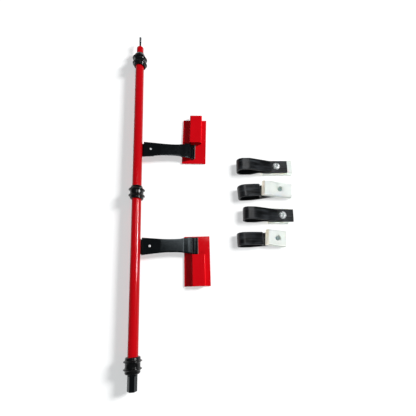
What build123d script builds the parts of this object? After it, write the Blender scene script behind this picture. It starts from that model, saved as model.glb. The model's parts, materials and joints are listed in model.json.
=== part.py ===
from build123d import *
import os
from math import cos, radians, sin

# Steering wheel lock: a bar with three rubber cushions, two swinging arms with plates, a key in
# the hexagonal end that draws in the pin at the nose, and four rubber straps with blocks.
# Millimetres. X to the right of the bar, Y along the bar towards the nose, Z up.
# The origin is on the surface the lock lies on, below the centre of the middle cushion.

# Bar
CUSHION_RADIUS = 17.5
AXIS_Z = CUSHION_RADIUS
TUBE_RADIUS = 10.0
TUBE_BORE = 8.0
TUBE_START = -352.0
TUBE_END = 361.5
CUSHION_PLACES = {"bottom_cushion": -339.0, "middle_cushion": 0.0, "top_cushion": 342.0}
CUSHION_LENGTH = 30.0
CUSHION_STEP = 2.2
CUSHION_BODY = 14.6
CUSHION_RIM = 14.0
BEAD_PITCH = 13.5
BEAD_BASE = 6.4
BEAD_TIP = 1.1
BOOT_LENGTH = 6.5
BOOT_END_RADIUS = 10.6

# Nose and the pin that comes out of it
NOSE_RADIUS = 8.2
NOSE_END = 384.5
NOSE_ROUND = 4.0
CHAMBER_RADIUS = 6.1
CHAMBER_START = 342.0
CHAMBER_END = 374.5
PIN_RADIUS = 2.25
PIN_END = 399.5
TIP_RADIUS = 2.6
TIP_END = 415.8
TIP_ROUND = 1.6
TIP_RINGS = 5
RING_START = 1.2
RING_SHARE = 0.45
RING_DEPTH = 0.45
TRAVEL = 11.0
KEY_TURN = 90.0
DOWEL_RADIUS = 1.2
NOSE_DOWEL_Y = 350.0
HOUSING_DOWEL_Y = -339.0

# Cam that draws the pin in
SLEEVE_START = 296.0
SLEEVE_BORE = 5.06
CAM_RADIUS = 5.0
CAM_START = 290.0
CAM_HOLLOW_START = 304.0
CAM_END = 340.0
CROSS_PIN_Y = 328.0
CROSS_PIN_RADIUS = 1.0
CROSS_PIN_REACH = 6.8
SLOT_STEPS = 24
SHANK_START = 318.0
SPRING_COLLAR_START = 362.0
SPRING_COLLAR_LENGTH = 4.0
SPRING_COLLAR_RADIUS = 5.7
SPRING_WIRE = 0.45
SPRING_RADIUS = 5.3
SPRING_TURNS = 6

# Turning spindle and key end
RUN = 0.06
SPINDLE_RADIUS = 3.0
SPINDLE_START = -318.0
SPINDLE_END = 298.0
BUSH_PLACES = {"lower_bush": -286.0, "middle_bush": 0.0, "upper_bush": 284.0}
BUSH_LENGTH = 8.0
HEX_FLATS = 16.0
HEX_TURN = 7.0
SHOULDER_RADIUS = 9.5
HEX_START = -383.0
HEX_END = -356.5
HEX_CHAMFER = 1.2
SPIGOT_END = -326.0
PLUG_RADIUS = 5.45
PLUG_FRONT = HEX_START + 0.6
PLUG_END = -346.0
PLUG_NECK_RADIUS = 3.6
PLUG_NECK = 6.0
KEYWAY_DEPTH = 26.0
KEYWAY_REACH = 3.8
KEYWAY_WIDTH = 1.2
KEYWAY_STEP = 0.4
COUNTERBORE_RADIUS = 6.8
CLIP_RADIUS = 6.4
CLIP_THICKNESS = 1.2
CLIP_GAP = 2.4
BLADE_WIDTH = 7.0
BLADE_THICKNESS = 2.0
BLADE_END = -323.0
BLADE_ROOT_WIDTH = 6.4
BLADE_ROOT_START = PLUG_END + 2
COUPLING_RADIUS = 5.6
COUPLING_START = BLADE_END - 11
COUPLING_END = SPINDLE_START + 8

# Arms, in their own frame: X out from the bar's axis, Y across from the arm's centre line
PIVOT_X = 28.7
ARM_PLACES = {"upper": 103.5, "lower": -117.0}
ARM_TURNS = {"upper": -3.2, "lower": -0.8}
STRIP = 2.0
PLATE_THICKNESS = 2.0
ROOT_X = 12.2
ROOT_Z = 15.4
FOOT_Z = PLATE_THICKNESS + STRIP / 2
ARM_LINE = [
    (ROOT_X, ROOT_Z),
    (51.0, ROOT_Z),
    (96.3, 11.9),
    (98.3, 10.9),
    (108.0, 10.6),
    (115.6, 9.6),
    (119.8, FOOT_Z),
    (125.6, FOOT_Z),
    (127.9, 4.9),
]
ARM_BENDS = [20.0, 1.3, 1.3, 30.0, 4.5, 1.6, 1.6]
ARM_HALF_WIDTHS = [(ROOT_X, 18.2), (32.0, 16.4), (58.0, 14.1), (88.0, 14.0), (110.0, 17.0), (128.6, 17.8)]
RIVET_X = 123.2
RIVET_SPREAD = 10.0
RIVET_RADIUS = 1.5
RIVET_HEAD = 2.0
RIVET_HEAD_HEIGHT = 0.9

# Plates and their channels, in the arm's frame
PLATE_LEFT = 98.6
PLATE_WIDTH = 53.8
PLATE_ENDS = {"upper": (-28.0, 83.0), "lower": (-82.6, 20.0)}
CHANNEL_LEFT = PLATE_LEFT + 15.7
CHANNEL_WIDTH = 28.0
CHANNEL_TOP = 10.8
CHANNEL_SHEET = 1.5
CHANNEL_BEND = 2.4
CHANNEL_ENDS = {"upper": (21.6, 91.0), "lower": (-82.6, -18.6)}

# Pivot of an arm on its bracket
BRACKET_TOP = 13.6
BRACKET_THICKNESS = 3.0
BRACKET_WIDTH = 31.0
BRACKET_START = 6.0
BRACKET_END = 39.0
BRACKET_CORNER = 6.5
SCREW_RADIUS = 1.7
SCREW_HEAD_RADIUS = 2.6
SCREW_HEAD = 0.9
SCREW_PLAY = 0.1
WASHER_RADIUS = 5.5
NUT_FLATS = 6.0
NUT_HEIGHT = 3.0

# Straps, in their own frame: origin on the surface below the screw, X away from the loop
STRAP_WIDTH = 26.5
STRAP_THICKNESS = 3.0
BLOCK_WIDTH = 33.0
BLOCK_HEIGHT = 9.0
BLOCK_EDGE = 1.6
BLOCK_CORNER = 1.8
BLOCK_SLOPE = (4.5, 5.5)
LAYER_GAP = 0.2
LOOP_LOW = 0.3
LOOP_TOP = 33.0
LOOP_LEAVES = -40.0
LOOP_LANDS = -57.0
LOOP_CREST = -60.0
LOOP_CLOSES = -12.0
STRAP_LIFT = 0.1
# A flipped strap stands on its cap and its loop, which tilts its screw from the upright
FLIP_HEIGHT = 19.9
FLIP_TILT = 7.5
FLIP_LOOP = (-4.15, 28.55)
FLIP_CREST = -54.0
FLIP_CLOSES = -18.0
FLIP_RISE = 0.388
BLOCK_CLEARANCE = 1.8
BLOCK_SWING = 22.0
FASTENER_RADIUS = 2.0
FASTENER_HEAD_RADIUS = 4.4
FASTENER_HEAD = 2.6
RECESS_RADIUS = 5.6
RECESS_DEPTH = 3.4
HEAD_GAP = 0.1
CROSS_LENGTH = 5.0
CROSS_WIDTH = 1.1
CROSS_DEPTH = 1.2
CAP_GRIP = 2.6
CAP_RIM = 0.8
CAP_RADIUS = 8.2
CAP_HEIGHT = 4.2
# number: (x, y, turn of the strap, turn of the block on it,
#          loop end, strap end, block start, block end, flipped)
STRAPS = {
    1: (307.0, 49.7, -2.0, 0.0, -88.3, 24.2, -32.3, 35.7, False),
    2: (308.9, -5.0, 3.2, -9.6, -90.3, 22.0, -38.3, 26.6, True),
    3: (309.3, -62.4, -3.3, 0.0, -84.2, 22.7, -30.2, 13.8, False),
    4: (293.9, -111.9, 0.3, -7.2, -83.0, 14.0, -24.7, 17.3, True),
}


def along_bar(y):
    """Sketch plane across the bar at y, with its normal towards the nose."""
    return Plane(origin=(0, y, AXIS_Z), x_dir=(1, 0, 0), z_dir=(0, 1, 0))


def bar_rod(radius, start, end):
    """Solid cylinder on the bar's axis."""
    return extrude(along_bar(start) * Circle(radius), end - start)


def bar_ring(outer, inner, start, end):
    """Hollow cylinder on the bar's axis."""
    return bar_rod(outer, start, end) - bar_rod(inner, start, end)


def upright(radius, low, high, x=0.0, y=0.0):
    """Vertical cylinder from low to high."""
    return extrude(Plane(origin=(x, y, low)) * Circle(radius), high - low)


def slab(x0, x1, y0, y1, z0, z1):
    """Box given by its limits."""
    centre = ((x0 + x1) / 2, (y0 + y1) / 2, (z0 + z1) / 2)
    return Pos(*centre) * Box(x1 - x0, y1 - y0, z1 - z0)


def turned(profile):
    """Solid of revolution about the bar's axis from a face drawn in the plane x = radius, y = along."""
    return revolve(profile, Axis((0, 0, AXIS_Z), (0, 1, 0)))


def bar_profile(points):
    """Closed outline of (radius, y) points in the plane through the bar's axis."""
    plane = Plane(origin=(0, 0, AXIS_Z), x_dir=(1, 0, 0), z_dir=(0, 0, 1))
    return plane * make_face(Polyline(*points, close=True))


def bead(y):
    """Ridge round a cushion, with a rounded tip at the cushion's full radius."""
    half = BEAD_BASE / 2
    shoulder = CUSHION_RADIUS - BEAD_TIP
    ridge = turned(bar_profile([
        (CUSHION_BODY - 1, y - half),
        (CUSHION_BODY, y - half),
        (shoulder, y - BEAD_TIP),
        (shoulder, y + BEAD_TIP),
        (CUSHION_BODY, y + half),
        (CUSHION_BODY - 1, y + half),
    ]))
    tip_plane = Plane(origin=(shoulder, y, AXIS_Z))
    return ridge + turned(tip_plane * Circle(BEAD_TIP))


def cushion(y, boot):
    """Rubber cushion with two beads, and on the nose end a tapering boot."""
    start = y - CUSHION_LENGTH / 2
    end = y + CUSHION_LENGTH / 2
    step = CUSHION_STEP
    outline = [
        (1, start),
        (CUSHION_RIM - step / 2, start),
        (CUSHION_RIM, start + step / 2),
        (CUSHION_BODY, start + step),
        (CUSHION_BODY, end - step),
        (CUSHION_RIM, end - step / 2),
    ]
    if boot:
        outline += [(CUSHION_RIM - 0.8, end), (BOOT_END_RADIUS, end + BOOT_LENGTH), (1, end + BOOT_LENGTH)]
    else:
        outline += [(CUSHION_RIM - step / 2, end), (1, end)]
    body = turned(bar_profile(outline))
    for side in (-1, 1):
        body += bead(y + side * BEAD_PITCH / 2)
    body -= bar_rod(TUBE_RADIUS, start - 1, min(TUBE_END, end + BOOT_LENGTH + 1))
    body -= bar_rod(NOSE_RADIUS, TUBE_END - 1, NOSE_END)
    return body


def radial_pins(radius, low, high, y):
    """Pair of short pins across the bar, one on each side, from one radius to another."""
    pins = []
    for side in (-1, 1):
        plane = Plane(origin=(side * low, y, AXIS_Z), z_dir=(side, 0, 0))
        pins.append(extrude(plane * Circle(radius), high - low))
    return pins


NOSE_PINS = radial_pins(DOWEL_RADIUS, CHAMBER_RADIUS + 0.3, TUBE_RADIUS - 0.05, NOSE_DOWEL_Y)
HOUSING_PINS = radial_pins(DOWEL_RADIUS, COUNTERBORE_RADIUS + 0.1, TUBE_RADIUS - 0.05, HOUSING_DOWEL_Y)


def bar_tube():
    tube = bar_ring(TUBE_RADIUS, TUBE_BORE, TUBE_START, TUBE_END)
    for pin in NOSE_PINS + HOUSING_PINS:
        tube -= pin
    return tube


def nose_plug():
    """Nose: a neck with a rounded end, and a spigot in the tube round the spring chamber."""
    neck = bar_rod(NOSE_RADIUS, TUBE_END, NOSE_END)
    neck = fillet(neck.edges().group_by(Axis.Y)[-1], NOSE_ROUND)
    nose = neck + bar_rod(TUBE_BORE, CHAMBER_START, TUBE_END)
    nose -= bar_rod(CHAMBER_RADIUS, CHAMBER_START, CHAMBER_END)
    nose -= bar_rod(PIN_RADIUS + RUN, CHAMBER_END, NOSE_END)
    for pin in NOSE_PINS:
        nose -= pin
    return nose


def latch_pin():
    shank = bar_rod(PIN_RADIUS, SHANK_START, PIN_END)
    hole = Plane(origin=(0, CROSS_PIN_Y, AXIS_Z - CROSS_PIN_REACH)) * Circle(CROSS_PIN_RADIUS)
    return shank - extrude(hole, 2 * CROSS_PIN_REACH)


def latch_tip():
    """Metal tip on the pin, ringed by shallow grooves and rounded at its end."""
    tip = bar_rod(TIP_RADIUS, PIN_END, TIP_END)
    tip = fillet(tip.edges().group_by(Axis.Y)[-1], TIP_ROUND)
    pitch = (TIP_END - PIN_END - RING_START - TIP_ROUND) / TIP_RINGS
    for ring in range(TIP_RINGS):
        start = PIN_END + RING_START + ring * pitch
        tip -= bar_ring(TIP_RADIUS + 1, TIP_RADIUS - RING_DEPTH, start, start + pitch * RING_SHARE)
    return tip


def cross_pin():
    return upright(CROSS_PIN_RADIUS, AXIS_Z - CROSS_PIN_REACH, AXIS_Z + CROSS_PIN_REACH, 0, CROSS_PIN_Y)


def spring_collar():
    end = SPRING_COLLAR_START + SPRING_COLLAR_LENGTH
    return bar_ring(SPRING_COLLAR_RADIUS, PIN_RADIUS, SPRING_COLLAR_START, end)


def latch_spring():
    """Open coil between the guide sleeve and the spring collar."""
    low = CHAMBER_START + SPRING_WIRE
    length = SPRING_COLLAR_START - CHAMBER_START - 2 * SPRING_WIRE
    path = Helix(length / SPRING_TURNS, length, SPRING_RADIUS, center=(0, low, AXIS_Z), direction=(0, 1, 0))
    start = Plane(origin=path @ 0, z_dir=path % 0)
    return sweep(start * Circle(SPRING_WIRE), path=path)


def guide_sleeve():
    """Sleeve fixed in the tube, with straight slots that keep the cross pin from turning."""
    sleeve = bar_ring(TUBE_BORE, SLEEVE_BORE, SLEEVE_START, CHAMBER_START)
    half = CROSS_PIN_RADIUS + RUN
    low = CROSS_PIN_Y - TRAVEL - half
    reach = CROSS_PIN_REACH + 0.2
    sleeve -= slab(-half, half, low, CROSS_PIN_Y + half, AXIS_Z - reach, AXIS_Z + reach)
    return sleeve


def cam_head():
    """Hollow cam on the spindle, with a helical slot that draws the cross pin towards the key."""
    cam = bar_rod(CAM_RADIUS, CAM_START, CAM_END)
    cam -= bar_rod(SPINDLE_RADIUS, CAM_START, SPINDLE_END)
    cam -= bar_rod(PIN_RADIUS + RUN, CAM_HOLLOW_START, CAM_END)
    cutter_radius = CROSS_PIN_RADIUS + 2 * RUN
    for step in range(SLOT_STEPS + 1):
        share = step / SLOT_STEPS
        cutter = upright(cutter_radius, -CAM_RADIUS - 1, CAM_RADIUS + 1)
        place = Pos(0, CROSS_PIN_Y - TRAVEL * share, AXIS_Z) * Rot(0, -KEY_TURN * share, 0)
        cam -= place * cutter
    return cam


def spindle():
    return bar_rod(SPINDLE_RADIUS, SPINDLE_START, SPINDLE_END)


def bush(y):
    return bar_ring(TUBE_BORE, SPINDLE_RADIUS + RUN, y - BUSH_LENGTH / 2, y + BUSH_LENGTH / 2)


def hex_housing():
    """Hexagonal key housing with a spigot in the tube and a counterbore behind the plug."""
    outline = RegularPolygon(HEX_FLATS / 2, 6, major_radius=False, rotation=HEX_TURN)
    body = extrude(along_bar(HEX_START) * outline, HEX_END - HEX_START)
    body = chamfer(body.edges().group_by(Axis.Y)[0], HEX_CHAMFER)
    body += bar_rod(SHOULDER_RADIUS, HEX_END, TUBE_START)
    body += bar_rod(TUBE_BORE, TUBE_START, SPIGOT_END)
    body -= bar_rod(PLUG_RADIUS + RUN, HEX_START, PLUG_END)
    body -= bar_rod(COUNTERBORE_RADIUS, PLUG_END, SPIGOT_END)
    for pin in HOUSING_PINS:
        body -= pin
    return body


def key_plug():
    """Turning plug with a plain stepped keyway in its front face."""
    plug = bar_rod(PLUG_RADIUS, PLUG_FRONT, PLUG_END)
    plug += bar_rod(PLUG_NECK_RADIUS, PLUG_END, PLUG_END + PLUG_NECK)
    keyway_end = PLUG_FRONT + KEYWAY_DEPTH
    left = -KEYWAY_WIDTH / 2
    for x, low, high in ((left, -KEYWAY_REACH, KEYWAY_STEP), (left + KEYWAY_STEP, -KEYWAY_STEP, KEYWAY_REACH)):
        plug -= slab(x, x + KEYWAY_WIDTH, PLUG_FRONT, keyway_end, AXIS_Z + low, AXIS_Z + high)
    return plug - blade_piece(BLADE_ROOT_WIDTH + 2 * RUN, BLADE_ROOT_START, PLUG_END + PLUG_NECK)


def plug_clip():
    """Split ring that keeps the plug in its housing."""
    start = PLUG_END + RUN
    ring = bar_ring(CLIP_RADIUS, PLUG_NECK_RADIUS, start, start + CLIP_THICKNESS)
    half = CLIP_GAP / 2
    return ring - slab(-half, half, PLUG_END, BLADE_ROOT_START, AXIS_Z, AXIS_Z + 2 * CLIP_RADIUS)


def blade_piece(width, start, end):
    """Flat length of the tailpiece."""
    half = BLADE_THICKNESS / 2
    return slab(-width / 2, width / 2, start, end, AXIS_Z - half, AXIS_Z + half)


def tailpiece():
    root_end = PLUG_END + PLUG_NECK
    root = blade_piece(BLADE_ROOT_WIDTH, BLADE_ROOT_START, root_end)
    return root + blade_piece(BLADE_WIDTH, root_end, BLADE_END)


def spindle_coupling():
    """Sleeve that joins the tailpiece to the spindle."""
    coupling = bar_rod(COUPLING_RADIUS, COUPLING_START, COUPLING_END)
    coupling -= bar_rod(SPINDLE_RADIUS, SPINDLE_START, COUPLING_END)
    return coupling - blade_piece(BLADE_WIDTH, COUPLING_START, BLADE_END)


def arm_frame(name):
    """Place of an arm: its own frame turned about the pivot."""
    return Pos(PIVOT_X, ARM_PLACES[name], 0) * Rot(0, 0, ARM_TURNS[name]) * Pos(-PIVOT_X, 0, 0)


def arm_outline():
    """Dog-bone outline of an arm seen from above."""
    upper = Spline(*ARM_HALF_WIDTHS)
    lower = mirror(upper, Plane.XZ)
    root = Line(upper @ 0, lower @ 0)
    tip = Line(upper @ 1, lower @ 1)
    return make_face(Curve() + [upper, lower, root, tip])


def arm_strip():
    """Sprung strip: flat root, a long slope, a ridge, a hump and a foot with an upturned lip."""
    width = 2 * max(half for x, half in ARM_HALF_WIDTHS) + 2
    line = FilletPolyline(*ARM_LINE, radius=ARM_BENDS)
    side = Plane(origin=(0, width / 2, 0), x_dir=(1, 0, 0), z_dir=(0, -1, 0))
    strip = extrude(side * trace(line, STRIP), width)
    strip &= extrude(Plane(origin=(0, 0, -5)) * arm_outline(), 40)
    strip -= upright(SCREW_RADIUS + RUN, 0, 30, PIVOT_X)
    for y in (-RIVET_SPREAD, RIVET_SPREAD):
        strip -= upright(RIVET_RADIUS, 0, FOOT_Z + 1, RIVET_X, y)
    return strip


def arm_plate(name):
    low, high = PLATE_ENDS[name]
    plate = slab(PLATE_LEFT, PLATE_LEFT + PLATE_WIDTH, low, high, 0, PLATE_THICKNESS)
    plate = fillet(plate.edges().filter_by(Axis.Z), 1.2)
    for y in (-RIVET_SPREAD, RIVET_SPREAD):
        plate -= upright(RIVET_RADIUS, -1, PLATE_THICKNESS + 1, RIVET_X, y)
    return plate


def channel(name):
    """Raised channel: bent sheet open below and at both ends, standing on the plate."""
    low, high = CHANNEL_ENDS[name]
    right = CHANNEL_LEFT + CHANNEL_WIDTH
    outer = slab(CHANNEL_LEFT, right, low, high, PLATE_THICKNESS, CHANNEL_TOP)
    outer = fillet(outer.edges().filter_by(Axis.Y).group_by(Axis.Z)[-1], CHANNEL_BEND)
    sheet = CHANNEL_SHEET
    left = CHANNEL_LEFT + sheet
    hollow = slab(left, right - sheet, low - 1, high + 1, PLATE_THICKNESS - 1, CHANNEL_TOP - sheet)
    hollow = fillet(hollow.edges().filter_by(Axis.Y).group_by(Axis.Z)[-1], CHANNEL_BEND - sheet)
    return outer - hollow


def arm_rivets():
    """Pair of rivets that hold the arm's foot to the plate."""
    top = FOOT_Z + STRIP / 2
    rivets = []
    for y in (-RIVET_SPREAD, RIVET_SPREAD):
        head = upright(RIVET_HEAD, top, top + RIVET_HEAD_HEIGHT, RIVET_X, y)
        head = fillet(head.edges().group_by(Axis.Z)[-1], RIVET_HEAD_HEIGHT * 0.65)
        rivets.append(head + upright(RIVET_RADIUS, 0.2, top, RIVET_X, y))
    return rivets


def bracket():
    """Tongue on the side of the tube that carries an arm."""
    low = BRACKET_TOP - BRACKET_THICKNESS
    half = BRACKET_WIDTH / 2
    tongue = slab(BRACKET_START, BRACKET_END, -half, half, low, BRACKET_TOP)
    tongue = fillet(tongue.edges().filter_by(Axis.Z).group_by(Axis.X)[-1], BRACKET_CORNER)
    tongue -= bar_rod(TUBE_RADIUS, -half - 1, half + 1)
    return tongue - upright(SCREW_RADIUS, low - 1, BRACKET_TOP + 1, PIVOT_X)


def pivot_screw():
    """Low-headed screw on which the arm swings."""
    top = ROOT_Z + STRIP / 2
    head = upright(SCREW_HEAD_RADIUS, top + SCREW_PLAY, top + SCREW_PLAY + SCREW_HEAD, PIVOT_X)
    head = fillet(head.edges().group_by(Axis.Z)[-1], SCREW_HEAD / 2)
    low = BRACKET_TOP - BRACKET_THICKNESS - NUT_HEIGHT - SCREW_HEAD
    return head + upright(SCREW_RADIUS, low, top + SCREW_PLAY, PIVOT_X)


def pivot_washer():
    ring = upright(WASHER_RADIUS, BRACKET_TOP, ROOT_Z - STRIP / 2 - SCREW_PLAY, PIVOT_X)
    return ring - upright(SCREW_RADIUS, 0, 30, PIVOT_X)


def pivot_nut():
    high = BRACKET_TOP - BRACKET_THICKNESS
    plane = Plane(origin=(PIVOT_X, 0, high - NUT_HEIGHT))
    nut = extrude(plane * RegularPolygon(NUT_FLATS / 2, 6, major_radius=False), NUT_HEIGHT)
    return nut - upright(SCREW_RADIUS, 0, 30, PIVOT_X)


def strap_place(number):
    """Place of a strap: turned about the screw, and for a flipped one upside down and tilted."""
    x, y, turn = STRAPS[number][:3]
    place = Pos(x, y, 0) * Rot(0, 0, turn)
    if STRAPS[number][8]:
        place = place * Pos(0, 0, FLIP_HEIGHT) * Rot(0, FLIP_TILT, 0) * Rot(180, 0, 0)
    return place


def block_place(number):
    """Place of a block: turned on its strap about the screw."""
    turn = -STRAPS[number][3] if STRAPS[number][8] else STRAPS[number][3]
    return strap_place(number) * Rot(0, 0, turn)


def plain_loop(loop_end, strap_end, lower, upper):
    """Line of a strap that lies on its block: the loop dips to the surface and rises above the fastener."""
    half = STRAP_THICKNESS / 2
    floor = LOOP_LOW + half
    roof = LOOP_TOP - half
    return FilletPolyline(
        (strap_end, lower),
        (LOOP_LEAVES, lower),
        (LOOP_LANDS, floor),
        (loop_end + half, floor),
        (loop_end + half, roof),
        (LOOP_CREST, roof),
        (LOOP_CLOSES, upper),
        (strap_end, upper),
        radius=[14, 14, 12, 16, 24, 24],
    )


def flipped_loop(loop_end, strap_end, block_start, lower, upper):
    """Line of a strap with its block on top: it leaves the block steeply, clear of where the block swings."""
    half = STRAP_THICKNESS / 2
    swing = radians(BLOCK_SWING)
    reach = BLOCK_WIDTH / 2 * sin(swing) - block_start * cos(swing)
    rise = -reach - BLOCK_CLEARANCE - half / 2
    roof = FLIP_LOOP[0] + half
    floor = FLIP_LOOP[1] - half
    shoulder = rise - half
    return FilletPolyline(
        (strap_end, lower),
        (rise, lower),
        (shoulder, roof + FLIP_RISE * (shoulder - FLIP_CREST)),
        (FLIP_CREST - 2 * half, roof),
        (loop_end + half, roof),
        (loop_end + half, floor),
        (FLIP_CREST, floor),
        (FLIP_CLOSES, upper),
        (strap_end, upper),
        radius=[3, 3, 12, 13, 12, 20, 24],
    )


def strap(number):
    """Rubber strap folded into a loop, its two ends one above the other on the block."""
    loop_end, strap_end, block_start = STRAPS[number][4:7]
    lower = BLOCK_HEIGHT + STRAP_LIFT + STRAP_THICKNESS / 2
    upper = lower + STRAP_THICKNESS + LAYER_GAP
    if STRAPS[number][8]:
        line = flipped_loop(loop_end, strap_end, block_start, lower, upper)
    else:
        line = plain_loop(loop_end, strap_end, lower, upper)
    side = Plane(origin=(0, STRAP_WIDTH / 2, 0), x_dir=(1, 0, 0), z_dir=(0, -1, 0))
    band = extrude(side * trace(line, STRAP_THICKNESS), STRAP_WIDTH)
    return band - upright(FASTENER_RADIUS, 0, 30)


def strap_block(number):
    """Plastic block with rounded edges, a slope at the loop's end, a bore and a recess for the screw."""
    start, end = STRAPS[number][6:8]
    half = BLOCK_WIDTH / 2
    block = slab(start, end, -half, half, 0, BLOCK_HEIGHT)
    run, rise = BLOCK_SLOPE
    corner = Plane(origin=(start, half + 1, 0), x_dir=(1, 0, 0), z_dir=(0, -1, 0))
    wedge = make_face(Polyline((0, 0), (run, 0), (0, rise), close=True))
    block -= extrude(corner * wedge, BLOCK_WIDTH + 2)
    block = fillet(block.edges().filter_by(Axis.Z), BLOCK_CORNER)
    block = fillet(block.edges().group_by(Axis.Z)[0], BLOCK_EDGE)
    block -= upright(FASTENER_RADIUS + RUN, -1, BLOCK_HEIGHT + 1)
    return block - upright(RECESS_RADIUS, -1, RECESS_DEPTH)


def strap_screw():
    """Screw through block and strap, with a cross recess in its head."""
    seat = RECESS_DEPTH - HEAD_GAP
    low = seat - FASTENER_HEAD
    head = upright(FASTENER_HEAD_RADIUS, low, seat)
    head = fillet(head.edges().group_by(Axis.Z)[0], 0.3 * FASTENER_HEAD)
    for x_size, y_size in ((CROSS_LENGTH, CROSS_WIDTH), (CROSS_WIDTH, CROSS_LENGTH)):
        head -= Pos(0, 0, low) * Box(x_size, y_size, 2 * CROSS_DEPTH)
    return head + upright(FASTENER_RADIUS, seat, cap_base() + CAP_GRIP)


def cap_base():
    """Height of the upper face of the strap, where the cap sits."""
    return BLOCK_HEIGHT + STRAP_LIFT + 2 * STRAP_THICKNESS + LAYER_GAP


def strap_cap():
    """Domed cap nut: a low rim and a dome."""
    base = cap_base()
    rise = CAP_HEIGHT - CAP_RIM
    ball = (CAP_RADIUS**2 + rise**2) / (2 * rise)
    dome = Pos(0, 0, base + CAP_HEIGHT - ball) * Sphere(ball)
    dome &= upright(CAP_RADIUS - 0.02, base + CAP_RIM, base + CAP_HEIGHT + 1)
    cap = dome + upright(CAP_RADIUS, base, base + CAP_RIM)
    return cap - upright(FASTENER_RADIUS, base - 1, base + CAP_GRIP)


def build():
    """Every node of the lock by name."""
    parts = {
        "bar_tube": bar_tube(),
        "nose_plug": nose_plug(),
        "nose_pins": NOSE_PINS,
        "guide_sleeve": guide_sleeve(),
        "hex_housing": hex_housing(),
        "housing_pins": HOUSING_PINS,
        "latch_pin": latch_pin(),
        "latch_tip": latch_tip(),
        "cross_pin": cross_pin(),
        "spring_collar": spring_collar(),
        "latch_spring": latch_spring(),
        "cam_head": cam_head(),
        "spindle": spindle(),
        "spindle_coupling": spindle_coupling(),
        "tailpiece": tailpiece(),
        "key_plug": key_plug(),
        "plug_clip": plug_clip(),
    }
    for name, y in CUSHION_PLACES.items():
        parts[name] = cushion(y, boot=name == "top_cushion")
    for name, y in BUSH_PLACES.items():
        parts[name] = bush(y)
    for name, y in ARM_PLACES.items():
        place = arm_frame(name)
        on_bar = Pos(0, y, 0)
        parts[f"{name}_bracket"] = on_bar * bracket()
        parts[f"{name}_pivot_screw"] = on_bar * pivot_screw()
        parts[f"{name}_pivot_washer"] = on_bar * pivot_washer()
        parts[f"{name}_pivot_nut"] = on_bar * pivot_nut()
        parts[f"{name}_arm"] = place * arm_strip()
        parts[f"{name}_arm_rivets"] = [place * rivet for rivet in arm_rivets()]
        parts[f"{name}_plate"] = place * arm_plate(name)
        parts[f"{name}_channel"] = place * channel(name)
    for number in STRAPS:
        place = strap_place(number)
        parts[f"strap_{number}"] = place * strap(number)
        parts[f"strap_{number}_screw"] = place * strap_screw()
        parts[f"strap_{number}_cap"] = place * strap_cap()
        parts[f"strap_{number}_block"] = block_place(number) * strap_block(number)
    return parts


os.makedirs("parts", exist_ok=True)
for node, shape in build().items():
    solids = shape if isinstance(shape, list) else [shape]
    compound = Compound(children=[solid for piece in solids for solid in piece.solids()])
    export_step(compound, f"parts/{node}.step")
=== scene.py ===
import json
import math

import bmesh
import bpy
from mathutils import Matrix, Vector, noise

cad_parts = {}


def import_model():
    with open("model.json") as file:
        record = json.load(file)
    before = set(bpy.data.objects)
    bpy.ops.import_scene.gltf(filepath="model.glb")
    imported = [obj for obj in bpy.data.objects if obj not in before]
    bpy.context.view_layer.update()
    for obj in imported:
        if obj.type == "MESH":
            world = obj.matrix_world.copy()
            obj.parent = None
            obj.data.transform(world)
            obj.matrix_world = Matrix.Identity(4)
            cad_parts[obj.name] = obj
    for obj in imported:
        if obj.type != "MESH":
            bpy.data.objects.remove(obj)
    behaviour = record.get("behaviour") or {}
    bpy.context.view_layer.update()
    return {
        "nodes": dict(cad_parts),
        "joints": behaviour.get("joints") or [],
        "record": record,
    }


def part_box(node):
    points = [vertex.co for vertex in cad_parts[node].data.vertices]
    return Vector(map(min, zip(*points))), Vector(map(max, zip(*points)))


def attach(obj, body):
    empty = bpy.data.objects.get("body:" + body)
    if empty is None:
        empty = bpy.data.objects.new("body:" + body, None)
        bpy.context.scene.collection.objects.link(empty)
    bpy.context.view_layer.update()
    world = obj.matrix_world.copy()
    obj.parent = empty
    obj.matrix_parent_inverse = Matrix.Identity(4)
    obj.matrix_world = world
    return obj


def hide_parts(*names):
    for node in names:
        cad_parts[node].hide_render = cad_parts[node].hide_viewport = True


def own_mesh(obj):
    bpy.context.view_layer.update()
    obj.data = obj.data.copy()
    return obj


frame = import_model()
NODES = frame["nodes"]
JOINTS = {joint["name"]: joint for joint in frame["joints"]}
MM = 0.001


# ---------------------------------------------------------------- outlines and meshes


def rounded(corners, spacing=1.0):
    """Outline through (x, y, radius) corners, each corner replaced by an arc of its radius."""
    out = [Vector(corners[0][:2])]
    for before, here, after in zip(corners, corners[1:], corners[2:]):
        point, radius = Vector(here[:2]), here[2]
        back = Vector(before[:2]) - point
        ahead = Vector(after[:2]) - point
        turn = math.pi - back.angle(ahead)
        if radius == 0 or turn < 1e-3:
            out.append(point)
            continue
        reach = radius * math.tan(turn / 2)
        reach = min(reach, back.length * 0.49, ahead.length * 0.49)
        radius = reach / math.tan(turn / 2)
        start = point + back.normalized() * reach
        end = point + ahead.normalized() * reach
        centre = point + (back.normalized() + ahead.normalized()).normalized() * (radius / math.cos(turn / 2))
        steps = max(2, min(16, math.ceil(radius * turn / spacing)))
        sweep_sign = 1 if (start - centre).cross(end - centre) > 0 else -1
        for step in range(steps + 1):
            angle = sweep_sign * turn * step / steps
            arm = start - centre
            out.append(centre + Matrix.Rotation(angle, 2) @ arm)
    out.append(Vector(corners[-1][:2]))
    return out


def spaced(points, gap):
    """The same line with points no further apart than gap."""
    out = [points[0]]
    for a, b in zip(points, points[1:]):
        count = max(1, math.ceil((b - a).length / gap))
        out += [a.lerp(b, step / count) for step in range(1, count + 1)]
    return out


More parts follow.
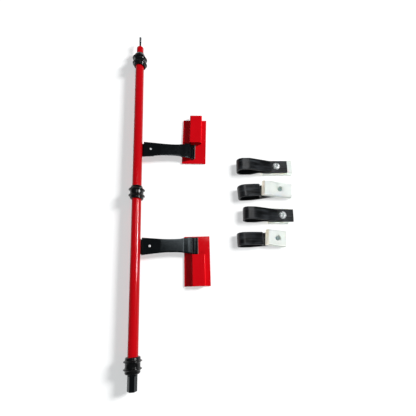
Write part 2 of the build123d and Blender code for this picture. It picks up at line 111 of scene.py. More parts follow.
def make_object(name, points, faces, material):
    """Smooth object from points in millimetres and faces."""
    mesh = bpy.data.meshes.new(name)
    mesh.from_pydata([Vector(p) * MM for p in points], [], faces)
    mesh.validate()
    mesh.update()
    for polygon in mesh.polygons:
        polygon.use_smooth = True
    mesh.materials.append(material)
    obj = bpy.data.objects.new(name, mesh)
    bpy.context.scene.collection.objects.link(obj)
    return obj


def ring_faces(rings, sides, closed_rings=False):
    """Quads between rings of sides points each; with closed_rings the last joins the first."""
    faces = []
    for ring in range(rings if closed_rings else rings - 1):
        following = (ring + 1) % rings
        for side in range(sides):
            beside = (side + 1) % sides
            faces.append((ring * sides + side, ring * sides + beside,
                          following * sides + beside, following * sides + side))
    return faces


def edge_arc(half_width, half_thick, edge, steps):
    """Rounded edge of a flat strip's section, from its side to its upper face."""
    out = []
    for step in range(steps + 1):
        angle = math.pi / 2 * step / steps
        out.append((half_width - edge + edge * math.cos(angle), half_thick - edge + edge * math.sin(angle)))
    return out


def sweep(name, line, sections, place, material):
    """Strip along a line of (x, z) points; each one has a section of (across, outward) points."""
    points, strip_uv = [], []
    travelled = 0.0
    for index, (here, section) in enumerate(zip(line, sections)):
        before = line[max(index - 1, 0)]
        after = line[min(index + 1, len(line) - 1)]
        along = (after - before).normalized()
        outward = Vector((-along.y, along.x))
        if index:
            travelled += (here - before).length
        for across, out in section:
            spot = here + outward * out
            points.append(place @ Vector((spot.x, across, spot.y)))
            strip_uv.append((travelled * MM, across * MM))
    sides = len(points) // len(line)
    faces = ring_faces(len(line), sides)
    last = (len(line) - 1) * sides
    faces.append(tuple(range(sides - 1, -1, -1)))
    faces.append(tuple(last + side for side in range(sides)))
    obj = make_object(name, points, faces, material)
    layer = obj.data.uv_layers.new(name="strip")
    for loop in obj.data.loops:
        layer.data[loop.index].uv = strip_uv[loop.vertex_index]
    for polygon in obj.data.polygons[-2:]:
        polygon.use_smooth = False
    return obj


def lathe(name, outline, sides, place, material, warp=None):
    """Closed outline of (along, radius) points turned about its axis; warp may move each point."""
    points = []
    for along, radius in outline:
        for side in range(sides):
            angle = 2 * math.pi * side / sides
            spot = Vector((radius * math.cos(angle), along, radius * math.sin(angle)))
            points.append(place @ (warp(spot, radius) if warp else spot))
    return make_object(name, points, ring_faces(len(outline), sides, closed_rings=True), material)


def outward_normals(obj):
    """Turns the faces of a closed mesh outwards and returns its object."""
    work = bmesh.new()
    work.from_mesh(obj.data)
    bmesh.ops.recalc_face_normals(work, faces=work.faces)
    work.to_mesh(obj.data)
    work.free()
    return obj


# ---------------------------------------------------------------- materials

# Most values of a noise texture lie between these two.
NOISE_LOW, NOISE_HIGH = 0.3, 0.7
# X of the normal where the painted shade tint for the -X side starts, and where it is full.
LEFT_SHADE_STARTS, LEFT_SHADE_FULL = -0.25, -0.65
# Agreement of the bevelled normal with the true one where the edge tint (wear on paint and metal, painted
# shade on the blocks) starts, and where it is full.
EDGE_TINT_STARTS, EDGE_TINT_FULL = 0.995, 0.86
EDGE_TINT_GRAIN = 900


class Nodes:
    """A material's node tree with short calls to add and join nodes."""

    def __init__(self, name):
        self.material = bpy.data.materials.new(name)
        self.material.use_nodes = True
        self.tree = self.material.node_tree
        self.shader = self.tree.nodes["Principled BSDF"]

    def add(self, kind, **settings):
        """New node of a kind, with its settings."""
        node = self.tree.nodes.new(kind)
        for key, value in settings.items():
            setattr(node, key, value)
        return node

    def join(self, source, target):
        """Link from an output to an input."""
        self.tree.links.new(source, target)

    def set(self, **values):
        """Plain values for the shader's inputs, their spaces written as underscores."""
        for key, value in values.items():
            self.shader.inputs[key.replace("_", " ")].default_value = value

    def place(self, kind="Object", stretch=(1, 1, 1)):
        """Coordinates in metres, stretched."""
        source = self.add("ShaderNodeTexCoord").outputs[kind]
        mapping = self.add("ShaderNodeMapping")
        mapping.inputs["Scale"].default_value = stretch
        self.join(source, mapping.inputs["Vector"])
        return mapping.outputs["Vector"]

    def noise(self, where, scale, detail=3.0, rough=0.5):
        """Noise value at the given coordinates."""
        node = self.add("ShaderNodeTexNoise")
        node.inputs["Scale"].default_value = scale
        node.inputs["Detail"].default_value = detail
        node.inputs["Roughness"].default_value = rough
        self.join(where, node.inputs["Vector"])
        return node.outputs["Fac"]

    def ramp(self, value, stops):
        """Colour ramp with (position, colour) stops."""
        node = self.add("ShaderNodeValToRGB")
        elements = node.color_ramp.elements
        while len(elements) < len(stops):
            elements.new(0.5)
        for element, (position, colour) in zip(elements, stops):
            element.position = position
            element.color = (*colour, 1)
        self.join(value, node.inputs["Fac"])
        return node.outputs["Color"]

    def span(self, value, low, high):
        """The value's middle range mapped to low..high."""
        node = self.add("ShaderNodeMapRange")
        node.inputs["From Min"].default_value = NOISE_LOW
        node.inputs["From Max"].default_value = NOISE_HIGH
        node.inputs["To Min"].default_value = low
        node.inputs["To Max"].default_value = high
        self.join(value, node.inputs["Value"])
        return node.outputs["Result"]

    def bump(self, height, strength, distance, base=None):
        """Normal raised by a height, on top of a base normal if there is one."""
        node = self.add("ShaderNodeBump")
        node.inputs["Strength"].default_value = strength
        node.inputs["Distance"].default_value = distance
        self.join(height, node.inputs["Height"])
        if base is not None:
            self.join(base, node.inputs["Normal"])
        return node.outputs["Normal"]

    def painted_left_shade(self, colour, tint):
        """The colour turning to a painted shade tint where the surface faces the -X side, away from the key
        lights.
        """
        split = self.add("ShaderNodeSeparateXYZ")
        self.join(self.add("ShaderNodeTexCoord").outputs["Normal"], split.inputs["Vector"])
        share = self.add("ShaderNodeMapRange")
        share.inputs["From Min"].default_value = LEFT_SHADE_STARTS
        share.inputs["From Max"].default_value = LEFT_SHADE_FULL
        self.join(split.outputs["X"], share.inputs["Value"])
        mix = self.add("ShaderNodeMix", data_type="RGBA")
        self.join(share.outputs["Result"], mix.inputs["Factor"])
        self.join(colour, mix.inputs["A"])
        mix.inputs["B"].default_value = (*tint, 1)
        return mix.outputs["Result"]

    def edge_wear_and_shade(self, colour, edge_colour, width=0.0004, amount=0.6):
        """The colour with a tint along sharp edges, broken up by noise: wear on paint and metal, painted
        shade on the blocks.
        """
        bevel = self.add("ShaderNodeBevel")
        bevel.samples = 4
        bevel.inputs["Radius"].default_value = width
        geometry = self.add("ShaderNodeNewGeometry")
        turned = self.add("ShaderNodeVectorMath", operation="DOT_PRODUCT")
        self.join(bevel.outputs["Normal"], turned.inputs[0])
        self.join(geometry.outputs["Normal"], turned.inputs[1])
        edge = self.add("ShaderNodeMapRange")
        edge.inputs["From Min"].default_value = EDGE_TINT_STARTS
        edge.inputs["From Max"].default_value = EDGE_TINT_FULL
        self.join(turned.outputs["Value"], edge.inputs["Value"])
        broken = self.span(self.noise(self.place(), EDGE_TINT_GRAIN, 4), 0.0, amount)
        share = self.add("ShaderNodeMath", operation="MULTIPLY", use_clamp=True)
        self.join(edge.outputs["Result"], share.inputs[0])
        self.join(broken, share.inputs[1])
        mix = self.add("ShaderNodeMix", data_type="RGBA")
        self.join(share.outputs["Value"], mix.inputs["Factor"])
        self.join(colour, mix.inputs["A"])
        mix.inputs["B"].default_value = (*edge_colour, 1)
        return mix.outputs["Result"]


def red_paint():
    """Glossy red paint with faint orange peel, slight mottling and rubbed edges."""
    n = Nodes("red_paint")
    here = n.place()
    colour = n.ramp(n.noise(here, 35, 4), [(0.3, (0.44, 0.0006, 0.0035)), (0.7, (0.47, 0.0010, 0.0045))])
    n.join(n.edge_wear_and_shade(colour, (0.30, 0.001, 0.002), amount=0.5), n.shader.inputs["Base Color"])
    n.join(n.span(n.noise(here, 120, 5), 0.28, 0.36), n.shader.inputs["Roughness"])
    peel = n.bump(n.noise(here, 420, 2), 0.10, 0.0004)
    n.join(n.bump(n.noise(here, 3200, 2), 0.03, 0.0002, peel), n.shader.inputs["Normal"])
    n.set(Coat_Weight=0.33, Coat_Roughness=0.07, Specular_IOR_Level=0.02)
    return n.material


def black_coat():
    """Satin black coat on steel, with a fine grain and slightly rubbed edges."""
    n = Nodes("black_coat")
    here = n.place()
    colour = n.ramp(n.noise(here, 60, 4), [(0.3, (0.0010, 0.0011, 0.0013)), (0.7, (0.0018, 0.0020, 0.0024))])
    n.join(n.edge_wear_and_shade(colour, (0.09, 0.09, 0.09), amount=0.7), n.shader.inputs["Base Color"])
    n.join(n.span(n.noise(here, 160, 5), 0.13, 0.19), n.shader.inputs["Roughness"])
    n.join(n.bump(n.noise(here, 1800, 3), 0.05, 0.0002), n.shader.inputs["Normal"])
    n.set(Specular_IOR_Level=0.38, Specular_Tint=(0.80, 0.93, 1.0, 1.0))
    return n.material


def cushion_rubber():
    """Black moulded rubber with a slight sheen and fine grain."""
    n = Nodes("cushion_rubber")
    here = n.place()
    colour = n.ramp(n.noise(here, 90, 4), [(0.3, (0.0018, 0.0018, 0.0020)), (0.7, (0.0035, 0.0035, 0.0038))])
    n.join(colour, n.shader.inputs["Base Color"])
    n.join(n.span(n.noise(here, 260, 5), 0.15, 0.24), n.shader.inputs["Roughness"])
    n.join(n.bump(n.noise(here, 1500, 3), 0.06, 0.0002), n.shader.inputs["Normal"])
    n.set(Specular_IOR_Level=0.28)
    return n.material


def strap_rubber():
    """Dark grey rubber with long streaks and ribs that follow the strap."""
    n = Nodes("strap_rubber")
    streak = n.noise(n.place("UV", (14, 230, 1)), 1.0, 5, 0.65)
    blotch = n.noise(n.place(), 55, 3)
    mix = n.add("ShaderNodeMath", operation="ADD")
    n.join(n.span(streak, 0.0, 0.70), mix.inputs[0])
    n.join(n.span(blotch, 0.0, 0.30), mix.inputs[1])
    dark, light = (0.0008, 0.0009, 0.0011), (0.0270, 0.0300, 0.0340)
    colour = n.ramp(mix.outputs["Value"], [(0.40, dark), (0.75, light)])
    n.join(colour, n.shader.inputs["Base Color"])
    n.join(n.span(streak, 0.30, 0.50), n.shader.inputs["Roughness"])
    ribs = n.bump(streak, 0.25, 0.0003)
    n.join(n.bump(n.noise(n.place(), 1600, 3), 0.15, 0.0002, ribs), n.shader.inputs["Normal"])
    n.set(Specular_IOR_Level=0.34)
    return n.material


def block_plastic():
    """Off-white moulded plastic, faintly uneven, with a painted warm shade along its edges and where it faces
    left.
    """
    n = Nodes("block_plastic")
    here = n.place()
    colour = n.ramp(n.noise(here, 45, 4), [(0.3, (0.74, 0.775, 0.735)), (0.7, (0.78, 0.81, 0.77))])
    # Painted shade: a warm beige where the block faces -X, away from the key lights, and a darker warm tint
    # along its edges.
    shaded = n.painted_left_shade(colour, (0.95, 0.90, 0.76))
    n.join(n.edge_wear_and_shade(shaded, (0.62, 0.56, 0.45), 0.0006, 0.5), n.shader.inputs["Base Color"])
    n.join(n.span(n.noise(here, 240, 4), 0.42, 0.55), n.shader.inputs["Roughness"])
    n.join(n.bump(n.noise(here, 1200, 3), 0.10, 0.0002), n.shader.inputs["Normal"])
    n.set(Subsurface_Weight=0.08, Subsurface_Radius=(0.004, 0.003, 0.002), Subsurface_Scale=1.0)
    return n.material


def bright_plate():
    """Bright plated metal, mottled light and dark."""
    n = Nodes("bright_plate")
    here = n.place()
    colour = n.ramp(n.noise(here, 300, 4), [(0.38, (0.24, 0.25, 0.26)), (0.52, (0.90, 0.91, 0.92))])
    n.join(colour, n.shader.inputs["Base Color"])
    n.join(n.span(n.noise(here, 500, 5), 0.22, 0.34), n.shader.inputs["Roughness"])
    n.join(n.bump(n.noise(here, 900, 3), 0.08, 0.0002), n.shader.inputs["Normal"])
    n.set(Metallic=0.55)
    return n.material


def plain_steel():
    """Plain steel with fine turning marks and darker specks."""
    n = Nodes("plain_steel")
    here = n.place()
    colour = n.ramp(n.noise(here, 260, 5), [(0.3, (0.26, 0.27, 0.28)), (0.7, (0.46, 0.47, 0.48))])
    n.join(colour, n.shader.inputs["Base Color"])
    n.join(n.span(n.noise(here, 700, 4), 0.28, 0.45), n.shader.inputs["Roughness"])
    turned = n.noise(n.place(stretch=(1, 12, 1)), 700, 3)
    n.join(n.bump(turned, 0.15, 0.0002), n.shader.inputs["Normal"])
    n.set(Metallic=1.0)
    return n.material


def zinc():
    """Dull greenish zinc of the screws in the blocks."""
    n = Nodes("zinc")
    here = n.place()
    colour = n.ramp(n.noise(here, 320, 4), [(0.3, (0.26, 0.35, 0.32)), (0.7, (0.46, 0.56, 0.53))])
    n.join(n.edge_wear_and_shade(colour, (0.05, 0.07, 0.07), amount=0.8), n.shader.inputs["Base Color"])
    n.join(n.span(n.noise(here, 700, 4), 0.40, 0.55), n.shader.inputs["Roughness"])
    n.join(n.bump(n.noise(here, 1400, 3), 0.12, 0.0002), n.shader.inputs["Normal"])
    n.set(Metallic=0.35)
    return n.material


def key_brass():
    """Dull brass of the key plug."""
    n = Nodes("key_brass")
    here = n.place()
    colour = n.ramp(n.noise(here, 240, 4), [(0.3, (0.46, 0.34, 0.13)), (0.7, (0.62, 0.48, 0.22))])
    n.join(colour, n.shader.inputs["Base Color"])
    n.join(n.span(n.noise(here, 600, 4), 0.26, 0.42), n.shader.inputs["Roughness"])
    n.join(n.bump(n.noise(here, 1500, 3), 0.1, 0.0002), n.shader.inputs["Normal"])
    n.set(Metallic=1.0)
    return n.material


def nylon():
    """Natural nylon of the bushes."""
    n = Nodes("nylon")
    here = n.place()
    colour = n.ramp(n.noise(here, 80, 3), [(0.3, (0.72, 0.70, 0.64)), (0.7, (0.80, 0.79, 0.74))])
    n.join(colour, n.shader.inputs["Base Color"])
    n.join(n.span(n.noise(here, 300, 4), 0.45, 0.6), n.shader.inputs["Roughness"])
    n.join(n.bump(n.noise(here, 1200, 3), 0.1, 0.0002), n.shader.inputs["Normal"])
    return n.material


def bare_edge():
    """Bare sheared steel at the ends of the arms."""
    n = Nodes("bare_edge")
    here = n.place()
    colour = n.ramp(n.noise(here, 500, 4), [(0.35, (0.12, 0.12, 0.12)), (0.65, (0.34, 0.34, 0.33))])
    n.join(colour, n.shader.inputs["Base Color"])
    n.join(n.span(n.noise(here, 900, 4), 0.3, 0.5), n.shader.inputs["Roughness"])
    n.join(n.bump(n.noise(n.place(stretch=(1, 1, 8)), 900, 3), 0.3, 0.0003), n.shader.inputs["Normal"])
    n.set(Metallic=0.8)
    return n.material


MATERIALS = {
    "red_paint": red_paint(),
    "black_paint": black_coat(),
    "rubber": cushion_rubber(),
    "strap_rubber": strap_rubber(),
    "block_plastic": block_plastic(),
    "bright_steel": bright_plate(),
    "plain_steel": plain_steel(),
    "key_brass": key_brass(),
    "nylon": nylon(),
}
BARE_EDGE = bare_edge()
ZINC = zinc()

for part in frame["record"]["subparts"]:
    node = NODES[part["node"]]
    finish = MATERIALS[part["material_slot"]]
    if part["node"].startswith("strap_") and part["node"].endswith("_screw"):
        finish = ZINC
    node.data.materials.clear()
    node.data.materials.append(finish)


def finish_piece(obj, body, slot, *nodes):
    """The piece stands for its CAD nodes and rides on their body; its slot is not used."""
    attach(obj, body)
    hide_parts(*nodes)


# ---------------------------------------------------------------- cushions

TUBE_LOW, TUBE_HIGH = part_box("bar_tube")
AXIS_Z = (TUBE_LOW.z + TUBE_HIGH.z) / 2 / MM
TUBE_RADIUS = (TUBE_HIGH.x - TUBE_LOW.x) / 2 / MM
TUBE_END = TUBE_HIGH.y / MM
FIT = 0.05
BEAD_TIP = 17.3
VALLEY = 14.2
FACE_RADIUS = 13.2
LIP_RADIUS = 11.4
NOSE_RADIUS = 8.2
SOUTH_MOUTH = 1.4
NORTH_MOUTH = 0.9
CUSHION_SIDES = 112
# Height above the tube where a cushion starts to lean, and over which it comes to lean fully.
COCK_START, COCK_DEPTH = 0.2, 2.4
WOBBLE_ACROSS, WOBBLE_ALONG = 0.09, 0.12
WOBBLE_SWELL, WOBBLE_SHIFT = 0.014, 0.5


def bead(y):
    """Ridge round a cushion: concave flanks up to a thin rounded tip."""
    return [
        (y - 3.3, VALLEY, 1.6),
        (y - 1.3, 15.2, 2.2),
        (y - 0.75, BEAD_TIP, 0.7),
        (y + 0.75, BEAD_TIP, 0.7),
        (y + 1.3, 15.2, 2.2),
        (y + 3.3, VALLEY, 1.6),
    ]


def cushion_outline(south, beads, bore_end, crown):
    """Outline of a cushion from its south mouth over both beads to its north end, and back along its bore."""
    bore = TUBE_RADIUS + FIT
    outside = rounded([
        (south + SOUTH_MOUTH, bore, 0),
        (south + 0.2, LIP_RADIUS, 0.8),
        (south, FACE_RADIUS, 0.9),
        (south + 1.8, VALLEY + 0.2, 1.5),
        *bead(beads[0]),
        *bead(beads[1]),
        *crown,
        (bore_end, bore, 0),
    ], 0.45)
    # The bore's end is there twice, which keeps its edge crisp.
    inside = [Vector((bore_end, bore)), Vector((south + SOUTH_MOUTH, bore))]
    return spaced(outside + inside, 1.2)


def cushion(name, outline, tilt, seed):
    """Rubber cushion, slightly cocked on the tube and not quite true."""
    lean = math.tan(math.radians(tilt))
    place = Matrix.Translation((0, 0, AXIS_Z))

    def cock(spot, radius):
        share = min(max((radius - TUBE_RADIUS - COCK_START) / COCK_DEPTH, 0), 1)
        where = Vector((spot.x * WOBBLE_ACROSS, spot.y * WOBBLE_ALONG, spot.z * WOBBLE_ACROSS + seed))
        wobble = noise.noise(where)
        growth = 1 + share * wobble * WOBBLE_SWELL
        shift = wobble * WOBBLE_SHIFT * share - spot.x * lean * share
        return Vector((spot.x * growth, spot.y + shift, spot.z * growth))

    obj = lathe(name, outline, CUSHION_SIDES, place, MATERIALS["rubber"], cock)
    return outward_normals(obj)


def plain_crown(north):
    """North end that mirrors the south one."""
    return [(north - 1.8, VALLEY, 1.5), (north, FACE_RADIUS, 0.9), (north - 0.2, LIP_RADIUS, 0.8)]


def tapered_crown(north):
    """North end that slopes in to the tube."""
    return [(north - 6.5, 13.8, 6.0), (north - 0.5, 11.8, 1.2), (north, 10.7, 0.4)]


def domed_crown(north):
    """North end that closes over the tube's end, round the nose."""
    neck = NOSE_RADIUS + FIT
    return [
        (north - 8.5, 14.0, 4.0),
        (north - 1.2, 10.6, 3.0),
        (north, 9.0, 0.6),
        (north - 0.3, neck, 0),
        (TUBE_END + FIT, neck, 0),
    ]


def all_cushions():
    """The three cushions, each with its ends, beads, crown, lean in degrees and noise seed."""
    bottom, middle, top = -339.0, 0.0, 341.6
    rows = {
        "bottom_cushion": (
            bottom - 14.3, (bottom - 6.3, bottom + 6.9), bottom + 14.6, plain_crown, -2.0, 3.1,
        ),
        "middle_cushion": (
            middle - 14.9, (middle - 7.5, middle + 5.9), middle + 14.7, tapered_crown, 4.0, 9.7,
        ),
        "top_cushion": (
            top - 15.6, (top - 7.4, top + 7.4), top + 21.9, domed_crown, 8.7, 15.3,
        ),
    }
    for node, (south, beads, north, crown, tilt, seed) in rows.items():
        bore_end = TUBE_END + FIT if crown is domed_crown else north - NORTH_MOUTH
        outline = cushion_outline(south, beads, bore_end, crown(north))
        obj = cushion(f"{node}_rubber", outline, tilt, seed)
        finish_piece(obj, "bar", "rubber", node)


all_cushions()

# ---------------------------------------------------------------- latch spring


def latch_spring():
    """The spring: a copy of the CAD coil that rides with the latch."""
    cad = NODES["latch_spring"]
    obj = bpy.data.objects.new("latch_spring_coil", cad.data.copy())
    bpy.context.scene.collection.objects.link(obj)
    obj.matrix_world = cad.matrix_world
    finish_piece(obj, "latch", "plain_steel", "latch_spring")
    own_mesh(obj)


latch_spring()

# ---------------------------------------------------------------- arms

STRIP = 2.0
ARM_EDGE = 0.45
ARM_EDGE_STEPS = 3
ARM_FLATS = 12
ARM_TURNS = {"upper": -3.2, "lower": -0.8}
ARM_LINE = [
    (12.2, 15.4, 0),
    (51.0, 15.4, 20.0),
    (96.3, 11.9, 1.3),
    (98.3, 10.9, 1.3),
    (108.0, 10.6, 30.0),
    (115.6, 9.6, 4.5),
    (119.8, 3.0, 1.6),
    (125.6, 3.0, 1.6),
    (127.9, 4.9, 0),
]
ARM_HALF_WIDTHS = [(12.2, 18.2), (32.0, 16.4), (58.0, 14.1), (88.0, 14.0), (110.0, 17.0), (128.6, 17.8)]


def arm_half_width(x):
    """Half width of an arm at x, smooth between its given widths."""
    spots = ARM_HALF_WIDTHS
    x = min(max(x, spots[0][0]), spots[-1][0])
    index = max(i for i, spot in enumerate(spots[:-1]) if spot[0] <= x)
    (x0, w0), (x1, w1) = spots[index], spots[index + 1]

    def slope(i):
        low, high = max(i - 1, 0), min(i + 1, len(spots) - 1)
        return (spots[high][1] - spots[low][1]) / (spots[high][0] - spots[low][0])

    span = x1 - x0
    t = (x - x0) / span
    return ((2 * t**3 - 3 * t**2 + 1) * w0 + (t**3 - 2 * t**2 + t) * span * slope(index)
            + (3 * t**2 - 2 * t**3) * w1 + (t**3 - t**2) * span * slope(index + 1))


def arm_section(x):
    """Section of an arm at x: a flat strip with rounded edges."""
    half = arm_half_width(x)
    flat = half - ARM_EDGE
    corner = edge_arc(half, STRIP / 2, ARM_EDGE, ARM_EDGE_STEPS)
    face = [(flat - 2 * flat * k / ARM_FLATS, STRIP / 2) for k in range(1, ARM_FLATS)]
    upper = corner + face + [(-across, out) for across, out in reversed(corner)]
    return upper + [(-across, -out) for across, out in upper]


def arm(name):
    """Sprung arm turned about its pivot, with a bare sheared end."""
    pivot = Vector(JOINTS[f"{name}_arm_swing"]["pos_m"]) / MM
    turn = Matrix.Rotation(math.radians(ARM_TURNS[name]), 4, "Z")
    place = Matrix.Translation((pivot.x, pivot.y, 0)) @ turn @ Matrix.Translation((-pivot.x, 0, 0))
    line = spaced(rounded(ARM_LINE, 0.5), 1.5)
    sections = [arm_section(spot.x) for spot in line]
    obj = sweep(f"{name}_arm_strip", line, sections, place, MATERIALS["black_paint"])
    outward_normals(obj)
    obj.data.materials.append(BARE_EDGE)
    obj.data.polygons[-1].material_index = 1
    finish_piece(obj, f"{name}_arm", "black_paint", f"{name}_arm")


for arm_name in ARM_TURNS:
    arm(arm_name)

# ---------------------------------------------------------------- straps

STRAP_HALF = 13.25
STRAP_THICK = 3.0
STRAP_EDGE = 0.7
STRAP_EDGE_STEPS = 4
STRAP_FLATS = 10
RIB_COUNT = 17
RIB_DEPTH = 0.16
RIB_SAMPLES = 4
RIB_RUN_OUT = 0.35
BORDER = 2.3
SCREW_TURNS = {1: -2.0, 2: 3.2, 3: -3.3, 4: 0.3}
FLIPPED_BLOCK_STARTS = {2: -38.3, 4: -24.7}
FLIP_HEIGHT = 19.9
FLIP_TILT = 7.5
BLOCK_HALF_WIDTH = 16.5
BLOCK_SWING = math.radians(22.0)
BLOCK_ROOM = 2.55
LOOP_HEIGHT = 29.7
PLAIN_LOW = 1.8
FLIPPED_LOW = -2.65
FLIPPED_CREST = -54.0
FLIPPED_SLOPE = 0.14
LOWER_Z = 10.6
UPPER_Z = 13.8


def ribbed_face(height):
    """Points across a strap's outer face: plain borders and fine ribs between them."""
    inner = STRAP_HALF - BORDER
    count = RIB_COUNT * RIB_SAMPLES
    out = [(inner + RIB_RUN_OUT, -height)]
    for k in range(count + 1):
        dip = RIB_DEPTH * (0.5 + 0.5 * math.cos(2 * math.pi * RIB_COUNT * k / count))
        out.append((inner - 2 * inner * k / count, -height + dip))
    out.append((-inner - RIB_RUN_OUT, -height))
    return out


def strap_section():
    """Section of a strap: rounded edges, a ribbed outer face and a plain inner one."""
    half = STRAP_THICK / 2
    flat = STRAP_HALF - STRAP_EDGE
    corner = edge_arc(STRAP_HALF, half, STRAP_EDGE, STRAP_EDGE_STEPS)
    out = [(across, -rise) for across, rise in corner]
    out += ribbed_face(half)
    out += [(-across, -rise) for across, rise in reversed(corner)]
    out += [(-across, rise) for across, rise in corner]
    out += [(2 * flat * k / STRAP_FLATS - flat, half) for k in range(1, STRAP_FLATS)]
    out += reversed(corner)
    return out


def plain_loop(loop_end, strap_end):
    """Line of a strap lying on its block, as (x, z, radius) corners."""
    end = loop_end + STRAP_THICK / 2
    roof = PLAIN_LOW + LOOP_HEIGHT
    return [
        (strap_end, LOWER_Z, 0),
        (-40.0, LOWER_Z, 14),
        (-57.0, PLAIN_LOW, 14),
        (end, PLAIN_LOW, 12),
        (end, roof, 16),
        (-60.0, roof, 24),
        (-12.0, UPPER_Z, 24),
        (strap_end, UPPER_Z, 0),
    ]


def flipped_loop(loop_end, strap_end, block_start):
    """Line of a strap with its block on top, which leaves the block steeply where the block can swing."""
    end = loop_end + STRAP_THICK / 2
    reach = BLOCK_HALF_WIDTH * math.sin(BLOCK_SWING) - block_start * math.cos(BLOCK_SWING)
    rise = -reach - BLOCK_ROOM
    shoulder = rise - STRAP_THICK / 2
    roof = FLIPPED_LOW + LOOP_HEIGHT
    return [
        (strap_end, LOWER_Z, 0),
        (rise, LOWER_Z, 3),
        (shoulder, FLIPPED_LOW + FLIPPED_SLOPE * (shoulder - FLIPPED_CREST), 3),
        (FLIPPED_CREST - STRAP_THICK, FLIPPED_LOW, 12),
        (end, FLIPPED_LOW, 13),
        (end, roof, 12),
        (FLIPPED_CREST, roof, 20),
        (-18.0, UPPER_Z, 24),
        (strap_end, UPPER_Z, 0),
    ]


def strap_place(number):
    """Place of a strap: turned about its screw, and upside down and tilted where its block is on top."""
    pivot = Vector(JOINTS[f"block_{number}_turn"]["pos_m"]) / MM
    turn = Matrix.Rotation(math.radians(SCREW_TURNS[number]), 4, "Z")
    place = Matrix.Translation((pivot.x, pivot.y, 0)) @ turn
    if number in FLIPPED_BLOCK_STARTS:
        tilt = Matrix.Rotation(math.radians(FLIP_TILT), 4, "Y")
        place = place @ Matrix.Translation((0, 0, FLIP_HEIGHT)) @ tilt @ Matrix.Rotation(math.pi, 4, "X")
    return place


def strap(number):
    """Ribbed strap folded into a loop, as long as its CAD solid."""
    place = strap_place(number)
    reaches = [(place.inverted() @ (Vector(v.co) / MM)).x for v in NODES[f"strap_{number}"].data.vertices]
    loop_end, strap_end = min(reaches), max(reaches)
    if number in FLIPPED_BLOCK_STARTS:
        corners = flipped_loop(loop_end, strap_end, FLIPPED_BLOCK_STARTS[number])
    else:
        corners = plain_loop(loop_end, strap_end)
    line = spaced(rounded(corners, 0.8), 2.0)
    sections = [strap_section()] * len(line)
    obj = sweep(f"strap_{number}_band", line, sections, place, MATERIALS["strap_rubber"])
    outward_normals(obj)
    finish_piece(obj, f"strap_{number}", "strap_rubber", f"strap_{number}")


CAP_RADIUS = 7.9
CAP_SIDES = 72
CAP_BORE = 2.1
CAP_AXIS = 0.02
CAP_GAP = 0.2


def strap_cap(number):
    """Pressed cap: a low dome with a rounded rim and a small dimple in its top."""
    base = LOWER_Z - STRAP_THICK / 2 + 2 * STRAP_THICK + CAP_GAP
    outline = rounded([
        (base, CAP_BORE, 0),
        (base, CAP_RADIUS, 0.3),
        (base + 1.1, CAP_RADIUS, 0.6),
        (base + 2.9, 6.4, 2.2),
        (base + 4.0, 4.2, 1.4),
        (base + 4.0, 3.0, 0.5),
        (base + 2.4, 2.4, 0.4),
        (base + 2.7, CAP_AXIS, 0),
    ], 0.25)
    inside = [Vector((base + 2.0, CAP_AXIS)), Vector((base + 2.0, CAP_BORE))]
    tip = Matrix.Rotation(math.pi / 2, 4, "X")
    obj = lathe(f"strap_{number}_cap_nut", outline + inside, CAP_SIDES, strap_place(number) @ tip,
                MATERIALS["bright_steel"])
    outward_normals(obj)
    finish_piece(obj, f"strap_{number}", "bright_steel", f"strap_{number}_cap")


for strap_number in SCREW_TURNS:
    strap(strap_number)
    strap_cap(strap_number)

# ---------------------------------------------------------------- floor, lights and camera

CAMERA_SPOT = Vector((144.9, -236.6, 668.5)) * MM
CAMERA_TILT = math.radians(16.66)
BAR_LEAN = math.radians(2.38)
FOCAL_SHARE = 320 / 416
SENSOR = 36.0
LENS_SHIFT = 0.0012
FLOOR_HALF = 6
FLOOR_DROP = 0.0004
LOW_SUN = (1.55, 0.60, 1.0)
LOW_SUN_ARMS = (1.85, 0.76, 1.0)
HIGH_SUN = (0.58, 0.12, 1.0)
SOUTH_SUN = (0.0, -0.7, 0.8)
LEFT_SUN = (-1.0, -0.3, 0.1)
SIDE_CARD = (0.94, 0.136, 0.70)
STRAP_CARD = (0.30, 0.50, 1.3)
TOP_CARD = (0.295, 0.33, 1.3)
BAR_AIM = (0.0, -0.1, 0.02)
STRAPS_AIM = (0.25, -0.03, 0.03)
LONG_CARD = (0.46, 0.20)
WORLD_COLOUR = (0.87, 0.99, 1.03, 1)
WORLD_STRENGTH = 0.125


def floor():
    """White surface just under the lock, part of the stage only."""
    signs = [(-1, -1), (1, -1), (1, 1), (-1, 1)]
    mesh = bpy.data.meshes.new("floor")
    mesh.from_pydata([(x * FLOOR_HALF, y * FLOOR_HALF, -FLOOR_DROP) for x, y in signs], [], [(0, 1, 2, 3)])
    obj = bpy.data.objects.new("floor", mesh)
    bpy.context.scene.collection.objects.link(obj)
    n = Nodes("floor_white")
    colour = n.ramp(n.noise(n.place(), 3, 2), [(0.3, (0.88, 0.88, 0.88)), (0.7, (0.90, 0.90, 0.90))])
    n.join(colour, n.shader.inputs["Base Color"])
    n.set(Roughness=0.9, Specular_IOR_Level=0.1)
    mesh.materials.append(n.material)


def add_light(name, kind, aim, spot):
    """Light at a spot, pointed at its aim and unseen by the camera."""
    data = bpy.data.lights.new(name, kind)
    obj = bpy.data.objects.new(name, data)
    obj.location = spot
    obj.rotation_mode = "QUATERNION"
    obj.rotation_quaternion = (Vector(aim) - Vector(spot)).to_track_quat("-Z", "Y")
    bpy.context.scene.collection.objects.link(obj)
    obj.visible_camera = False
    return obj


def link_light(obj, groups):
    """Keeps a light or its shadows to some objects."""
    for role, members in groups.items():
        group = bpy.data.collections.new(f"{obj.name}_{role}")
        for member in members:
            group.objects.link(member)
        setattr(obj.light_linking, role, group)


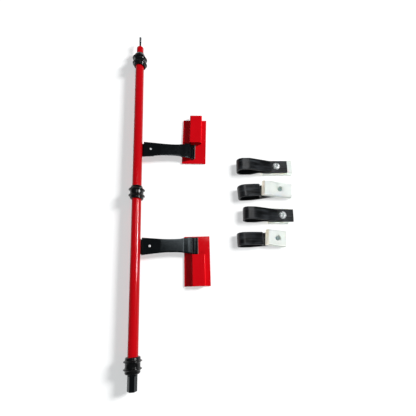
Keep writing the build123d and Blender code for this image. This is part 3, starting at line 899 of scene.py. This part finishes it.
def gloss_card(name, spot, aim, size, power, lit):
    """Softbox that only shows in the glossy surfaces of the objects it is kept to."""
    obj = add_light(name, "AREA", aim, spot)
    obj.data.shape = "RECTANGLE"
    obj.data.size, obj.data.size_y = size
    obj.data.energy = power
    obj.visible_diffuse = False
    link_light(obj, {"receiver_collection": lit})


def key_light(name, towards, softness, strength, lit, shading):
    """Distant key light: lit are the objects it reaches, shading those that throw its shadows."""
    obj = add_light(name, "SUN", (0, 0, 0), towards)
    obj.data.angle = math.radians(softness)
    obj.data.energy = strength
    obj.visible_glossy = False
    link_light(obj, {"receiver_collection": lit, "blocker_collection": shading})


def lights():
    """Low light from the right on the floor and the arms, a higher one on the bar and the straps.

    Two weak fills open up the arms and the blocks, and softboxes add reflections, most of them to one kind of
    piece.
    """
    solid = [obj for obj in bpy.data.objects if obj.type == "MESH" and obj.name != "floor"]
    straps = [obj for obj in solid if obj.name.startswith("strap_")]
    arms = [obj for obj in solid if obj.name.startswith(("upper_", "lower_"))]
    bar = [obj for obj in solid if obj not in straps and obj not in arms]
    ground = [bpy.data.objects["floor"]]
    blocks = [obj for obj in straps if "_block" in obj.name]
    caps = [obj for obj in straps if obj.name.endswith("_cap_nut")]
    bands = [obj for obj in straps if obj.name.endswith("_band")]
    strips = [obj for obj in arms if obj.name.endswith("_strip")]
    sheets = [obj for obj in arms if obj not in strips]
    key_light("low_key_floor", LOW_SUN, 15, 3.25, ground, bar + arms)
    key_light("low_key_arms", LOW_SUN_ARMS, 12, 7.0, arms, bar + arms)
    key_light("south_fill_arms", SOUTH_SUN, 22, 0.8, arms, bar + arms)
    key_light("high_key_bar", HIGH_SUN, 22, 3.5, bar, bar + arms)
    key_light("high_key_straps", HIGH_SUN, 22, 3.55, straps, straps)
    key_light("high_key_floor", HIGH_SUN, 22, 2.1, ground, straps)
    key_light("left_fill_blocks", LEFT_SUN, 20, 1.4, blocks, blocks)
    gloss_card("side_card", SIDE_CARD, BAR_AIM, (0.46, 0.22), 30, bar)
    gloss_card("plate_card", SIDE_CARD, BAR_AIM, LONG_CARD, 7, sheets)
    gloss_card("arm_card", SIDE_CARD, BAR_AIM, LONG_CARD, 2.4, strips)
    gloss_card("strap_card", STRAP_CARD, STRAPS_AIM, (0.16, 0.16), 3.5, bands)
    gloss_card("cap_card", SIDE_CARD, (0.2, -0.03, 0.02), (0.46, 0.30), 8, caps)
    gloss_card("top_card", TOP_CARD, (0.09, -0.117, 0.01), (0.41, 0.45), 2.4, solid)


def camera():
    """Camera above and south of the lock's middle, tilted north; BAR_LEAN turns the bar in its view."""
    data = bpy.data.cameras.new("camera")
    data.sensor_width = SENSOR
    data.lens = SENSOR * FOCAL_SHARE
    data.shift_x, data.shift_y = -LENS_SHIFT, LENS_SHIFT
    data.clip_start, data.clip_end = 0.01, 50
    obj = bpy.data.objects.new("camera", data)
    bpy.context.scene.collection.objects.link(obj)
    right = Vector((math.cos(BAR_LEAN), -math.sin(BAR_LEAN), 0))
    north = Vector((math.sin(BAR_LEAN), math.cos(BAR_LEAN), 0))
    ahead = north * math.sin(CAMERA_TILT) - Vector((0, 0, 1)) * math.cos(CAMERA_TILT)
    up = right.cross(ahead)
    turn = Matrix((right, up, -ahead)).transposed().to_4x4()
    obj.matrix_world = Matrix.Translation(CAMERA_SPOT) @ turn
    bpy.context.scene.camera = obj


def world():
    """Dim, slightly cool surroundings, and plain colour handling."""
    scene = bpy.context.scene
    scene.world = bpy.data.worlds.new("studio")
    scene.world.use_nodes = True
    background = scene.world.node_tree.nodes["Background"]
    background.inputs["Color"].default_value = WORLD_COLOUR
    background.inputs["Strength"].default_value = WORLD_STRENGTH
    scene.view_settings.view_transform = "Standard"
    scene.view_settings.look = "None"


floor()
lights()
camera()
world()
